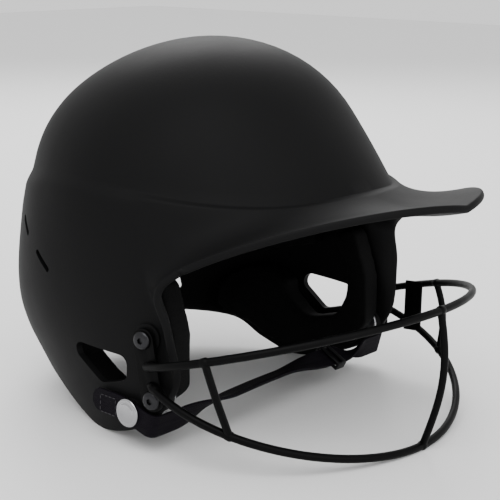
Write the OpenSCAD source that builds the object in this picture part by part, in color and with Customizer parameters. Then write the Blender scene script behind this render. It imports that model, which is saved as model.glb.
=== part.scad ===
// Batting helmet with a wire face guard and a chin strap.
// Everything is drawn level, as on a level head: y = 0 and dome_z mark the dome's centre,
// the face looks along -Y and the wearer's left is +X. stance() then leans it back to the
// way it stands on a table, on its two ear flaps and the guard's lower wire.

/* [Shell] */
// Outside width of the dome
dome_w = 202; // [165:1:245]
// Length of the dome in front of its centre, along its long axis
dome_front = 121; // [100:1:146]
// Length of the dome behind its centre, along its long axis
dome_back = 106; // [88:1:128]
// Height of the crown above the dome's centre, across its long axis
dome_h = 97; // [80:1:117]
// Height of the dome's centre above the ear flaps
dome_z = 99.5; // [92:0.5:112]
// How far the dome's long axis dips at the back, in degrees
dome_pitch = 24.5; // [18:0.5:30]
// Half height of the side walls if they ran on below the flaps
skirt_h = 260; // [210:5:320]
// How far the shell's rear corners are drawn in from the dome's round shape
rear_tuck = 13; // [9:0.5:16]
// Wall thickness
wall = 3.8; // [3:0.1:4.8]
// How far the shell below the crease line stands proud of the dome
ledge = 2.6; // [0.5:0.1:3.2]
// Flare of the rolled edge round the flaps and the nape
rim_flare = 1.2; // [0:0.1:3]

/* [Bill] */
// Reach of the bill past the dome's centre
bill_reach = 188; // [160:1:227]
// Height of the bill's tip above the ear flaps
bill_z = 84; // [77:1:91]
// Half width of the bill where it meets the flaps
bill_half_w = 106; // [88:1:128]
// Half width of the bill's blunt tip
bill_tip = 50; // [35:1:65]

/* [Ear flaps] */
// How far the flap's front edge stands before the dome's centre
flap_front = 58; // [54:1:63]
// How far that edge bows forward, in degrees round the head
flap_bow = 2.8; // [0:0.1:4.5]
// Height of the nape edge above the ear flaps
nape_z = 46; // [40:1:54]
// Height of the ear hole's middle
ear_z = 39; // [37:0.5:42]
// Distance of the ear hole's middle before the dome's centre
ear_y = 19; // [17:0.5:21]

/* [Padding] */
// Gap between the shell and its pads
pad_gap = 0.4; // [0.3:0.1:1]
// Thickness of the jaw pads
jaw_pad_t = 13; // [9:0.5:16]
// Thickness of the liner pads
liner_t = 11; // [8:0.5:15]

/* [Face guard] */
// Diameter of the guard's wire
wire_d = 4.2; // [3:0.1:5]
// Reach of the top wire past the dome's centre
guard_reach = 162; // [150:1:190]
// Height of the top wire
top_wire_z = 36.5; // [32:1:40]
// Reach of the lower wire past the dome's centre
lower_reach = 135; // [126:1:155]
// Distance between the two screws of a side
screw_gap = 31; // [27:0.5:35]
// Width of the side plates
plate_w = 12; // [10:0.5:13]
// Thickness of the side plates
plate_t = 2; // [1.5:0.1:3]
// Diameter of the guard's screws
screw_d = 4.8; // [4:0.1:5.5]
// Thickness of the rubber spacers under the plates
spacer_t = 1.6; // [1:0.1:3]

/* [Chin strap] */
// Width of the webbing
strap_w = 12.5; // [10.5:0.5:14]
// Thickness of the webbing
strap_t = 1.5; // [1:0.1:2]
// Slope of the strap's end on the flap, in degrees
strap_slope = 31; // [28:1:34]
// Turn of the strap's free end towards the level, in degrees
tab_turn = 13; // [0:1:18]
// Distance from the snap to the strap's run under the jaw
strap_drop = 17; // [16.5:0.1:20]
// Length of the strap's free end past the snap
tab_l = 26; // [20:1:28]
// Diameter of the snap's cap
cap_d = 15; // [12:0.5:16]

/* [Hidden] */
// How far the helmet leans back on the table, in degrees
tilt = 15.7;
s_p = sin(dome_pitch);
c_p = cos(dome_pitch);
half_w = dome_w / 2;
shell_color = "#2b2b2d";
pad_color = "#101012";
wire_color = "#1c1c1e";
steel_color = "#b9bcc0";
strap_color = "#1b161f";
rubber_color = "#0c0c0d";
slider_color = "#151517";

// ---------------------------------------------------------------- the dome's surface
function smooth(t) = let (k = min(1, max(0, t))) k * k * (3 - 2 * k);
function unit(v) = v / norm(v);
function bezier(a, b, c, d, t) = let (k = 1 - t)
    a * k * k * k + b * 3 * k * k * t + c * 3 * k * t * t + d * t * t * t;
function along(y, dz) = c_p * y - s_p * dz;
function above(y, dz) = s_p * y + c_p * dz;
function semi(h) = h < 0 ? skirt_h : dome_h;
function semi_l(l) = l > 0 ? dome_back : dome_front;

// Distance from the upright axis to the wall, at azimuth f (0 in front) and height z
function reach_with(f, dz, b, c) = let (
    a2 = pow(sin(f) / half_w, 2) + pow(c_p * cos(f) / b, 2) + pow(s_p * cos(f) / c, 2),
    a1 = 2 * c_p * s_p * cos(f) * dz * (1 / pow(b, 2) - 1 / pow(c, 2)),
    a0 = pow(s_p * dz / b, 2) + pow(c_p * dz / c, 2) - 1)
    (sqrt(max(0, a1 * a1 - 4 * a2 * a0)) - a1) / (2 * a2);
function reach_by(f, dz, r) = let (y = -r * cos(f))
    reach_with(f, dz, semi_l(along(y, dz)), semi(above(y, dz)));
function reach(f, z) = let (dz = z - dome_z)
    reach_by(f, dz, reach_by(f, dz, reach_by(f, dz, half_w)));
// The rear corners are drawn in most at the height of the crease
function tucked(p) = let (f = atan2(abs(p[0]), -p[1]), r = norm([p[0], p[1]]),
    high = smooth((p[2] - 56) / 70) * (1 - smooth((p[2] - 132) / 64)),
    k = 1 - rear_tuck / max(60, r) * smooth((f - 60) / 80) * high)
    [p[0] * k, p[1] * k, p[2]];
function wall_pt(f, z) = let (r = reach(f, z)) tucked([r * sin(f), -r * cos(f), z]);
// Half width of the wall at a place in side view
function wall_x(y, z) = let (dz = z - dome_z, h = above(y, dz), l = along(y, dz))
    half_w * sqrt(max(0.01, 1 - pow(l / semi_l(l), 2) - pow(h / semi(h), 2)));
function side_pt(y, z) = [wall_x(y, z), y, z];
function azimuth(y, z) = atan2(wall_x(y, z), -y);
function normal_at(p) = let (dz = p[2] - dome_z, l = along(p[1], dz), h = above(p[1], dz),
    kl = l / pow(semi_l(l), 2), kh = h / pow(semi(h), 2))
    unit([p[0] / pow(half_w, 2), c_p * kl + s_p * kh, -s_p * kl + c_p * kh]);
function wall_normal(f, z) =
    unit(cross(wall_pt(f + 1, z) - wall_pt(f - 1, z), wall_pt(f, z + 1) - wall_pt(f, z - 1)));
function dome_pt(f, e) = let (d = [cos(e) * sin(f), -cos(e) * cos(f), sin(e)],
    l = along(d[1], d[2]), h = above(d[1], d[2]),
    r = 1 / norm([d[0] / half_w, l / semi_l(l), h / semi(h)])) tucked([0, 0, dome_z] + d * r);
function sunk(p, depth) = p - normal_at(p) * depth;

// ---------------------------------------------------------------- the shell's edge
// Height of the crease that runs from the bill up towards the back
function crease_z(f) = dome_z - 0.5 + 47 * smooth((f - 12) / 88) + 12 * smooth((f - 105) / 75);
// Corner where the bill meets the flap, and the flap's outline in side view, front to back
bill_corner = [bill_half_w - 3, -flap_front - 16, bill_z - 3];
nape_y = 75;
flap_edge = [[bill_corner[1], bill_corner[2]], [-flap_front - 7, 76], [-flap_front - 1.5, 67],
    [-flap_front, 50], [-flap_front + 2, 22], [-flap_front + 14, 9], [-26, 4], [-4, 3], [12, 6], [30, 19],
    [46, 34], [nape_y, nape_z]];
flap_n = len(flap_edge) - 1;
flap_steps = 3;
// A smooth curve through the places in p, from p[i] at t = 0 to the next at t = 1
function curve_pt(p, i, t) = let (n = len(p) - 1, a = p[max(0, i - 1)], b = p[i], c = p[min(n, i + 1)],
    d = p[min(n, i + 2)]) b + (c - a) * t / 2 + (2 * a - 5 * b + 4 * c - d) * t * t / 2
    + (3 * b - a - 3 * c + d) * t * t * t / 2;
flap_path = [for (i = [0:flap_n - 1], k = [0:flap_steps - 1]) curve_pt(flap_edge, i, k / flap_steps)];
function run_to(p, i) = i == 0 ? 0 : run_to(p, i - 1) + norm(p[i] - p[i - 1]);
flap_run = run_to(flap_path, len(flap_path) - 1);
front_share = run_to(flap_path, 5 * flap_steps) / flap_run;
corner_f = azimuth(bill_corner[1], bill_corner[2]);
bill_f = atan2(bill_corner[0], -bill_corner[1]);
nape_f = azimuth(nape_y, nape_z);
bill_n = 13;
nape_n = 9;

// Each column: [crease azimuth, edge azimuth, edge height, flare at the edge, how bill-like it is]
function bill_edge(t) = bezier([0, -bill_reach, bill_z], [bill_tip, -bill_reach, bill_z + 9],
    [bill_half_w - 6, -flap_front - 54, bill_z + 7], bill_corner, t);
bill_columns = [for (i = [0:bill_n - 1]) let (t = i / bill_n, p = bill_edge(t), f = atan2(p[0], -p[1]),
    g = norm([p[0], p[1]])) [f, f + (corner_f - bill_f) * smooth(t),
    p[2], g - reach(f, p[2]), 1 - 0.6 * smooth((t - 0.3) / 0.7)]];
corner_flare = norm([bill_corner[0], bill_corner[1]]) - reach(corner_f, bill_corner[2]);
flap_columns = [for (i = [0:len(flap_path) - 1]) let (q = flap_path[i], k = run_to(flap_path, i) / flap_run)
    [k < front_share ? bill_f + 10 * k / front_share
        : bill_f + 10 + (nape_f - bill_f - 10) * (k - front_share) / (1 - front_share),
    azimuth(q[0], q[1]), q[1], rim_flare + (corner_flare - rim_flare) * (1 - smooth(k / front_share)),
        0.4 * (1 - smooth(k / front_share))]];
nape_columns = [for (i = [0:nape_n]) let (f = nape_f + (180 - nape_f) * i / nape_n)
    [f, f, nape_z, rim_flare, 0]];
half_columns = concat(bill_columns, flap_columns, nape_columns);
half_n = len(half_columns);
columns_n = 2 * (half_n - 1);
skirt_rows = [0, 0.05, 0.13, 0.24, 0.36, 0.48, 0.6, 0.72, 0.83, 0.92, 1];
crown_rows = [for (i = [1:9]) i / 10];

// The flap's front edge bows forward between the bill and the jaw
function bow(f, z) = f - flap_bow * smooth((z - 8) / 25) * smooth((82 - z) / 30) * smooth((100 - f) / 35);
// Below the crease, s runs from 0 at the crease to 1 at the edge
function skirt_pt(c, s, proud) = let (m = c[4], z0 = crease_z(c[0]),
    f = c[0] + (c[1] - c[0]) * s, z = z0 + (c[2] - z0) * (1 - pow(1 - s, 1 + 1.3 * m)),
    fb = bow(f, z), p = wall_pt(fb, z), out = c[3] * pow(s, 5 - 3.75 * m)
    + proud * smooth(s / 0.08) * (1 - smooth((s - 0.1) / 0.7)))
    p + [sin(fb), -cos(fb), 0] * out;
// Above it, k runs from 0 at the crease to 1 at the crown
function crown_pt(c, k) = let (p = wall_pt(c[0], crease_z(c[0])),
    e0 = asin((p[2] - dome_z) / norm(p - [0, 0, dome_z])))
    dome_pt(c[0], e0 + (90 - e0) * k);
function column(c, proud) = concat([for (s = skirt_rows) skirt_pt(c, 1 - s, proud)],
    [for (k = crown_rows) crown_pt(c, k)]);
rows_n = len(skirt_rows) + len(crown_rows);
function mirrored(p) = [-p[0], p[1], p[2]];
// All columns round the head, from the front over the left side, the back and the right side
function all_round(half) = concat(half, [for (i = [half_n - 2:-1:1]) [for (p = half[i]) mirrored(p)]]);
outer_grid = all_round([for (c = half_columns) column(c, ledge)]);
smooth_grid = all_round([for (c = half_columns) column(c, 0)]);
function at(g, i, j) = g[(i + columns_n) % columns_n][min(rows_n - 1, max(0, j))];
function grid_normal(g, i, j) =
    unit(cross(at(g, i + 1, j) - at(g, i - 1, j), at(g, i, j + 1) - at(g, i, j - 1)));
inner_grid = [for (i = [0:columns_n - 1]) [for (j = [0:rows_n - 1])
    smooth_grid[i][j] - grid_normal(smooth_grid, i, j) * wall]];

module wall_skin() {
    pole = dome_pt(0, 90);
    pts = concat([for (g = outer_grid, p = g) p], [for (g = inner_grid, p = g) p],
        [pole, pole - [0, 0, wall]]);
    shift = columns_n * rows_n;
    function id(i, j) = ((i + columns_n) % columns_n) * rows_n + j;
    polyhedron(pts, concat(
        [for (i = [0:columns_n - 1], j = [0:rows_n - 2]) each [
            [id(i, j), id(i + 1, j + 1), id(i + 1, j)], [id(i, j), id(i, j + 1), id(i + 1, j + 1)],
            [shift + id(i, j), shift + id(i + 1, j), shift + id(i + 1, j + 1)],
            [shift + id(i, j), shift + id(i + 1, j + 1), shift + id(i, j + 1)]]],
        [for (i = [0:columns_n - 1]) each [
            [id(i, rows_n - 1), 2 * shift, id(i + 1, rows_n - 1)],
            [shift + id(i, rows_n - 1), shift + id(i + 1, rows_n - 1), 2 * shift + 1],
            [id(i, 0), id(i + 1, 0), shift + id(i + 1, 0)],
            [id(i, 0), shift + id(i + 1, 0), shift + id(i, 0)]]]));
}

// ---------------------------------------------------------------- placing things
module stance() translate([0, stand_y, stand_z]) rotate([-tilt, 0, 0]) children();
// The flaps' lowest place, leant back by tilt, stands on z = 0, midway along Y
stand_z = -min([for (g = concat(outer_grid, inner_grid), p = g) p[2] * cos(tilt) - p[1] * sin(tilt)]);
leant_y = [for (g = outer_grid, p = g) p[1] * cos(tilt) + p[2] * sin(tilt)];
stand_y = -(min(leant_y) + max(leant_y)) / 2;
module on_side(side, y, z, turn = 0) {
    p = side_pt(y, z);
    n = normal_at(p);
    v = unit([0, 0, 1] - n * n[2]);
    h = cross(v, n);
    mirror([side < 0 ? 1 : 0, 0, 0])
        multmatrix([[h[0], v[0], n[0], p[0]], [h[1], v[1], n[1], p[1]], [h[2], v[2], n[2], p[2]]])
            rotate([0, 0, turn]) children();
}
module both_sides() for (side = [-1, 1]) on_side(side, -guard_y, guard_z, guard_turn) children();
module at_screws() for (k = [-1, 1]) translate([0, k * screw_gap / 2, 0]) children();
guard_y = flap_front - 6.8;
guard_z = 34.5;
guard_turn = 6;
snap_y = -32.5;
snap_z = 13.7;
boss_d = plate_w + 3;
boss_out = 1.4;
boss_in = wall + 1.6;
bore_d = screw_d + 2.4;
rivet_d = 3.2;
rivet_bore = rivet_d + 0.2;
nut_t = 1.3;

// ---------------------------------------------------------------- shell
// Rounded triangle of the ear hole, in side view with y to the right
module ear_outline(grow) offset(r = 5 + grow)
    polygon([[-ear_y + 13, ear_z + 8], [-ear_y - 12, ear_z - 0.5], [-ear_y - 10.5, ear_z - 4.5],
        [-ear_y + 3, ear_z - 4.5]]);
module through_sides(side, depth) translate([side > 0 ? 0 : -depth, 0, 0])
    rotate([90, 0, 90]) linear_extrude(depth) children();
// A slot through the wall on both sides, turned from upright
module vent(f, z, turn, length, width) {
    p = wall_pt(f, z);
    for (side = [0, 1]) mirror([side, 0, 0]) translate(p) rotate([0, 0, f - 90]) rotate([turn, 0, 0])
        rotate([0, 90, 0]) translate([0, 0, -12]) linear_extrude(24)
            offset(r = 0.45 * width) square([length - 0.9 * width, 0.1 * width], center = true);
}
snap_boss_d = 13;
module shell() color(shell_color) stance() difference() {
    union() {
        wall_skin();
        both_sides() at_screws() translate([0, 0, -boss_in]) cylinder(d = boss_d, h = boss_in + boss_out);
        for (side = [-1, 1]) at_snap(side) translate([0, 0, -snap_foot])
            cylinder(d = snap_boss_d, h = snap_foot + snap_boss);
    }
    through_sides(1, dome_w) ear_outline(0);
    through_sides(-1, dome_w) ear_outline(0);
    both_sides() at_screws() translate([0, 0, -20]) cylinder(d = bore_d, h = 40);
    both_sides() at_screws() translate([0, 0, boss_out]) cylinder(d = boss_d, h = 10);
    for (side = [-1, 1]) at_snap(side) translate([0, 0, -15]) cylinder(d = rivet_bore, h = 30);
    vent(107.6, 116.5, -42, 14, 3.2);
    vent(96, 96.5, -38, 15, 3.2);
    vent(141.5, 65, 0, 15, 5);
}

// ---------------------------------------------------------------- pads
// A pad lies on the wall between two azimuths and two heights, from depth near to depth far
module wall_pad(f0, f1, z0, z1, near, far, nf, nz) {
    function pad_pt(f, z, d) = wall_pt(f, z) - wall_normal(f, z) * d;
    g = [for (d = [near, far]) [for (i = [0:nf]) [for (j = [0:nz])
        pad_pt(f0 + (f1 - f0) * i / nf, z0 + (z1 - z0) * j / nz, d)]]];
    m = nz + 1;
    k = (nf + 1) * m;
    function id(i, j) = i * m + j;
    polyhedron([for (a = g, b = a, p = b) p], concat(
        [for (i = [0:nf - 1], j = [0:nz - 1]) each [
            [id(i, j), id(i + 1, j + 1), id(i + 1, j)], [id(i, j), id(i, j + 1), id(i + 1, j + 1)],
            [k + id(i, j), k + id(i + 1, j), k + id(i + 1, j + 1)],
            [k + id(i, j), k + id(i + 1, j + 1), k + id(i, j + 1)]]],
        [for (i = [0:nf - 1]) each [
            [id(i, 0), id(i + 1, 0), k + id(i + 1, 0)],
            [id(i, 0), k + id(i + 1, 0), k + id(i, 0)],
            [id(i, nz), k + id(i + 1, nz), id(i + 1, nz)],
            [id(i, nz), k + id(i, nz), k + id(i + 1, nz)]]],
        [for (j = [0:nz - 1]) each [
            [id(0, j), k + id(0, j + 1), id(0, j + 1)],
            [id(0, j), k + id(0, j), k + id(0, j + 1)],
            [id(nf, j), id(nf, j + 1), k + id(nf, j + 1)],
            [id(nf, j), k + id(nf, j + 1), k + id(nf, j)]]]));
}
pad_near = wall + pad_gap;
pad_far = pad_near + liner_t;
jaw_far = pad_near + jaw_pad_t;
module jaw_outline() difference() {
    offset(r = 4) offset(r = -8) offset(r = 4)
        polygon([[-flap_front - 4, 76], [-flap_front - 6, 48], [-flap_front + 2, 19], [-44, 13], [-18, 11],
            [2, 11.5], [12, 16], [24, 27], [40, 40], [44, 46], [44, 56], [38, 62], [28, 64.5], [18, 63],
            [9, 58], [-1, 49], [-8, 40], [-13, 33], [-19, 30.5], [-30, 30.5], [-39, 33.5], [-44, 40],
            [-47, 50], [-48, 58], [-42, 68], [-40, 76]]);
    ear_outline(2.5);
}
module jaw_pad(side) color(pad_color) stance() difference() {
    intersection() {
        mirror([side < 0 ? 1 : 0, 0, 0])
            wall_pad(50, 146, 8, 79, pad_near, jaw_far, 16, 8);
        through_sides(side, dome_w) jaw_outline();
    }
    on_side(side, -guard_y, guard_z, guard_turn) at_screws()
        translate([0, 0, -boss_in - nut_t - 2]) cylinder(d = boss_d + 2, h = 20);
    at_snap(side) translate([0, 0, -snap_foot - 3]) cylinder(d = snap_boss_d + 2, h = 20);
}
module jaw_pad_left() jaw_pad(1);
module jaw_pad_right() jaw_pad(-1);
module side_pad(side) color(pad_color) stance() mirror([side < 0 ? 1 : 0, 0, 0])
    wall_pad(76, 124, 70, 128, pad_near, pad_far, 10, 7);
module side_pad_left() side_pad(1);
module side_pad_right() side_pad(-1);
module brow_pad() color(pad_color) stance()
    wall_pad(-52, 52, 104, 130, pad_near, pad_far, 18, 4);
module rear_pad() color(pad_color) stance()
    wall_pad(146, 214, 86, 126, pad_near, pad_far, 12, 6);
module crown_pad() {
    nf = 28;
    rows = [52, 60, 70, 80];
    m = len(rows);
    k = nf * m;
    function id(i, j) = (i % nf) * m + j;
    pts = concat(
        [for (d = [pad_near, pad_far], i = [0:nf - 1], e = rows) sunk(dome_pt(360 * i / nf, e), d)],
        [for (d = [pad_near, pad_far]) sunk(dome_pt(0, 90), d)]);
    color(pad_color) stance() polyhedron(pts, concat([for (i = [0:nf - 1], j = [0:m - 2]) each [
            [id(i, j), id(i + 1, j + 1), id(i + 1, j)], [id(i, j), id(i, j + 1), id(i + 1, j + 1)],
            [k + id(i, j), k + id(i + 1, j), k + id(i + 1, j + 1)],
            [k + id(i, j), k + id(i + 1, j + 1), k + id(i, j + 1)]]],
        [for (i = [0:nf - 1]) each [
            [id(i, m - 1), 2 * k, id(i + 1, m - 1)],
            [k + id(i, m - 1), k + id(i + 1, m - 1), 2 * k + 1],
            [id(i, 0), id(i + 1, 0), k + id(i + 1, 0)],
            [id(i, 0), k + id(i + 1, 0), k + id(i, 0)]]]));
}

// ---------------------------------------------------------------- face guard
module tube(path, d, up, sides = 10) {
    n = len(path);
    rings = [for (i = [0:n - 1]) let (t = unit(path[min(n - 1, i + 1)] - path[max(0, i - 1)]),
        u = unit(cross(t, up)), v = cross(u, t))
        [for (k = [0:sides - 1]) path[i] + (u * cos(360 * k / sides) + v * sin(360 * k / sides)) * d / 2]];
    polyhedron([for (r = rings, p = r) p], concat([[for (k = [0:sides - 1]) k]],
        [for (i = [0:n - 2], k = [0:sides - 1]) let (a = i * sides + k, b = i * sides + (k + 1) % sides)
            each [[a, b + sides, b], [a, a + sides, b + sides]]],
        [[for (k = [sides - 1:-1:0]) (n - 1) * sides + k]]));
}
// Both wires end on the plate's outer face, a little sunk into it by the weld
guard_out = normal_at(side_pt(-guard_y, guard_z)) * (boss_out + spacer_t + plate_t + wire_d / 2 - 0.3);
weld = side_pt(-guard_y - 1.5, top_wire_z) + guard_out;
weld_low = side_pt(-guard_y - 1.5, guard_z - screw_gap / 2 + 7) + guard_out;
// The lower wire's front stands on the table with the flaps
lower_z = (wire_d / 2 - stand_z - lower_reach * sin(tilt)) / cos(tilt);
function top_pt(t) = bezier(weld, [weld[0] + 18, -104, top_wire_z], [61, -guard_reach, top_wire_z - 2],
    [0, -guard_reach, top_wire_z - 2], t);
function lower_pt(t) = bezier(weld_low, [weld_low[0] + 10, -98, -6], [54, -lower_reach, lower_z],
    [0, -lower_reach, lower_z], t);
function both_ways(half) = concat(half, [for (i = [len(half) - 2:-1:0]) mirrored(half[i])]);
wire_steps = 16;
// Where the side bars and the tag meet the two wires, as shares of half a wire
bar_top = 0.262;
bar_low = 0.31;
tag_top = 0.158;
tag_low = 0.15;
bar_d = wire_d - 0.3;
module guard_top_wire() color(wire_color) stance()
    tube(both_ways([for (i = [0:wire_steps]) top_pt(i / wire_steps)]), wire_d, [0, 0, 1]);
module guard_lower_wire() color(wire_color) stance()
    tube(both_ways([for (i = [0:wire_steps]) lower_pt(i / wire_steps)]), wire_d, [0, 0, 1]);
// A bar from a to b, bowed outwards at its middle
module bar(a, b, out, up)
    tube([for (i = [0:8]) let (t = i / 8) a + (b - a) * t + out * sin(180 * t)], bar_d, up);
module guard_center_bar() color(wire_color) stance() bar(top_pt(1), lower_pt(1), [0, -7, 0], [1, 0, 0]);
module side_bar(side) color(wire_color) stance() mirror([side < 0 ? 1 : 0, 0, 0])
    bar(top_pt(bar_top), lower_pt(bar_low), [2.5, -2, 0], [0, 1, 0]);
module guard_side_bar_left() side_bar(1);
module guard_side_bar_right() side_bar(-1);
module guard_plate(side) color(wire_color) stance() on_side(side, -guard_y, guard_z, guard_turn)
    translate([0, 0, boss_out + spacer_t]) difference() {
        union() {
            at_screws() cylinder(d = plate_w, h = plate_t);
            translate([-plate_w / 2, -screw_gap / 2, 0]) cube([plate_w, screw_gap, plate_t]);
        }
        at_screws() translate([0, 0, -1]) cylinder(d = screw_d + 0.6, h = plate_t + 2);
    }
module guard_plate_left() guard_plate(1);
module guard_plate_right() guard_plate(-1);
tag_w = 12.5;
tag_t = 1.4;
module guard_tag() color(wire_color) stance() {
    a = top_pt(tag_top);
    b = lower_pt(tag_low);
    d = unit(a - b);
    h = unit(top_pt(tag_top + 0.03) - top_pt(tag_top - 0.03));
    n = unit(cross(h, d));
    g = cross(d, n);
    mid = (a + b) / 2 + n * (wire_d / 2 + tag_t / 2 + 0.5);
    multmatrix([[g[0], d[0], n[0], mid[0]], [g[1], d[1], n[1], mid[1]], [g[2], d[2], n[2], mid[2]]])
        cube([tag_w, norm(a - b) + wire_d, tag_t], center = true);
}
head_d = 9.5;
module guard_screws() color(steel_color) stance() both_sides() at_screws() {
    translate([0, 0, boss_out + spacer_t + plate_t]) difference() {
        union() {
            cylinder(d = head_d, h = 1.2);
            translate([0, 0, 1.2]) cylinder(d1 = head_d, d2 = head_d - 3, h = 1.1, $fn = 48);
        }
        translate([0, 0, 0.9]) cylinder(d = 3.4, h = 3, $fn = 6);
    }
    translate([0, 0, -boss_in]) cylinder(d = screw_d, h = boss_in + boss_out + spacer_t + plate_t);
}
module guard_spacers() color(rubber_color) stance() both_sides() at_screws()
    translate([0, 0, boss_out]) difference() {
        cylinder(d = plate_w - 1, h = spacer_t);
        translate([0, 0, -1]) cylinder(d = screw_d + 0.6, h = spacer_t + 2);
    }
module tee_nuts() color(steel_color) stance() both_sides() at_screws() difference() {
    union() {
        translate([0, 0, -boss_in - nut_t]) cylinder(d = boss_d - 1, h = nut_t);
        translate([0, 0, -boss_in]) cylinder(d = screw_d + 2.2, h = boss_in - 0.5);
    }
    translate([0, 0, -boss_in - nut_t - 1]) cylinder(d = screw_d + 0.04, h = boss_in + nut_t + 2);
}

// ---------------------------------------------------------------- chin strap
snap_boss = 2.2;
snap_foot = wall + 2;
strap_gap = 4;
bend_r = 3.2;
leg_l = strap_drop - bend_r - strap_t / 2;
split_gap = 0.8;
// Frame of the snap: origin on the flap, x along the strap towards its tip, y across, z outwards
snap_p = side_pt(snap_y, snap_z);
snap_n = [1, 0, 0];
strap_u = [0, cos(strap_slope), sin(strap_slope)];
strap_v = cross(snap_n, strap_u);
module at_snap(side) mirror([side < 0 ? 1 : 0, 0, 0])
    multmatrix([[strap_u[0], strap_v[0], snap_n[0], snap_p[0]],
        [strap_u[1], strap_v[1], snap_n[1], snap_p[1]],
        [strap_u[2], strap_v[2], snap_n[2], snap_p[2]]]) children();
function snap_place(u, n) = snap_p + strap_u * u + snap_n * n;
strap_mid = strap_gap + strap_t / 2;
// Centreline of the strap's bend under the flap, then inwards, as [place, across]
mid_r = bend_r + strap_t / 2;
bend = [for (a = [0:15:90]) snap_place(-leg_l - mid_r * sin(a), strap_mid - mid_r * (1 - cos(a)))];
inside = snap_place(-strap_drop, strap_mid - 14);
run_x = inside[0] - 4;
function run_y(x) = inside[1] - 3 * cos(90 * x / run_x);
function run_z(x) = inside[2] + 4 * cos(90 * x / run_x);
function run_turn(x) = let (k = x / run_x) x < 0 ? 63 * (1 - smooth((-k - 0.5) / 0.5))
    : 63 + 41 * smooth(k / 0.48) - 104 * smooth((k - 0.66) / 0.34);
function turned(v, a) = [v[0], v[1] * cos(a) - v[2] * sin(a), v[1] * sin(a) + v[2] * cos(a)];
run_n = 22;
strap_half = concat([for (p = bend) [p, strap_v]], [[inside, strap_v]]);
flat_v = unit([0, strap_v[1], strap_v[2]]);
strap_run = [for (i = [0:run_n]) let (x = run_x * (1 - 2 * i / run_n))
    [[x, run_y(x), run_z(x)], turned(flat_v, run_turn(x))]];
module band(path, w, t) {
    n = len(path);
    rings = [for (i = [0:n - 1]) let (p = path[i][0],
        d = unit(path[min(n - 1, i + 1)][0] - path[max(0, i - 1)][0]),
        v = unit(path[i][1] - d * (d * path[i][1])) * w / 2, u = unit(cross(d, v)) * t / 2)
        [p + v + u, p - v + u, p - v - u, p + v - u]];
    polyhedron([for (r = rings, p = r) p], concat([[0, 3, 2, 1]],
        [for (i = [0:n - 2], k = [0:3]) let (a = i * 4 + k, b = i * 4 + (k + 1) % 4)
            each [[a, b, b + 4], [a, b + 4, a + 4]]],
        [[for (k = [0:3]) (n - 1) * 4 + k]]));
}
// The riveted end is cut off square a little past the rivet
stub_l = 9;
module chin_strap() color(strap_color) stance() {
    far = [for (i = [len(strap_half) - 1:-1:0]) strap_half[i]];
    difference() {
        band(concat([[snap_place(stub_l, strap_mid), strap_v]], strap_half, strap_run,
            [for (h = far) [mirrored(h[0]), mirrored(h[1])]]), strap_w, strap_t);
        at_snap(1) translate([0, 0, -1]) cylinder(d = rivet_bore, h = 12);
    }
}
cap_neck_d = 8.5;
module strap_tab() color(strap_color) stance() at_snap(-1) difference() {
    translate([0, 0, strap_gap]) union() {
        translate([-leg_l + split_gap, -strap_w / 2, 0]) cube([leg_l - split_gap, strap_w, strap_t]);
        cylinder(d = strap_w, h = strap_t);
        rotate([0, 0, -tab_turn]) {
            translate([0, -strap_w / 2, 0]) cube([tab_l - strap_w / 2, strap_w, strap_t]);
            translate([tab_l - strap_w / 2, 0, 0]) cylinder(d = strap_w, h = strap_t);
        }
    }
    translate([0, 0, -1]) cylinder(d = cap_neck_d + 0.1, h = 12);
}
strap_top = strap_gap + strap_t;
module snap_cap() color(steel_color) stance() at_snap(-1) translate([0, 0, strap_top]) difference() {
    union() {
        cylinder(d = cap_d, h = 0.8);
        translate([0, 0, 0.8]) cylinder(d1 = cap_d, d2 = cap_d - 4, h = 1.4, $fn = 48);
        translate([0, 0, -strap_t - 0.8]) cylinder(d = cap_neck_d, h = strap_t + 0.9);
    }
    translate([0, 0, -strap_t - 2]) cylinder(d = cap_neck_d - 1.9, h = strap_t + 2.2);
}
flange_d = 9;
module snap_stud() color(steel_color) stance() at_snap(-1) {
    translate([0, 0, snap_boss]) cylinder(d = flange_d, h = 0.7);
    translate([0, 0, -snap_foot - 1]) cylinder(d = rivet_d, h = snap_foot + snap_boss + 1.2);
    translate([0, 0, snap_boss + 0.6]) cylinder(d = 4.2, h = 1.9);
}
module washer(side) color(steel_color) stance() at_snap(side)
    translate([0, 0, -snap_foot - 1]) difference() {
        cylinder(d = flange_d, h = 0.9);
        translate([0, 0, -1]) cylinder(d = rivet_d + 0.04, h = 3);
    }
module snap_washer() washer(-1);
module strap_rivet() color(steel_color) stance() at_snap(1) {
    translate([0, 0, strap_top]) cylinder(d = flange_d, h = 0.8);
    translate([0, 0, strap_top + 0.8]) cylinder(d1 = flange_d, d2 = flange_d - 3, h = 0.8, $fn = 48);
    translate([0, 0, -snap_foot - 1]) cylinder(d = rivet_d, h = snap_foot + 1.1 + strap_top);
}
module rivet_washer() washer(1);
// A block that the strap runs through, with a window in each broad face
slider_l = 8;
slider_t = 4.6;
module strap_slider() color(slider_color) stance() {
    x = run_x * 0.58;
    v = turned(flat_v, run_turn(x));
    u = cross([1, 0, 0], v);
    multmatrix([[1, 0, 0, x], [0, v[1], u[1], run_y(x)], [0, v[2], u[2], run_z(x)]]) difference() {
        cube([slider_l, strap_w + 4.6, slider_t], center = true);
        cube([3 * slider_l, strap_w + 1.4, strap_t + 1.4], center = true);
        for (k = [-1, 1]) translate([0, 0, k * slider_t / 2])
            cube([0.35 * slider_l, strap_w + 1.4, slider_t / 2], center = true);
    }
}

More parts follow.
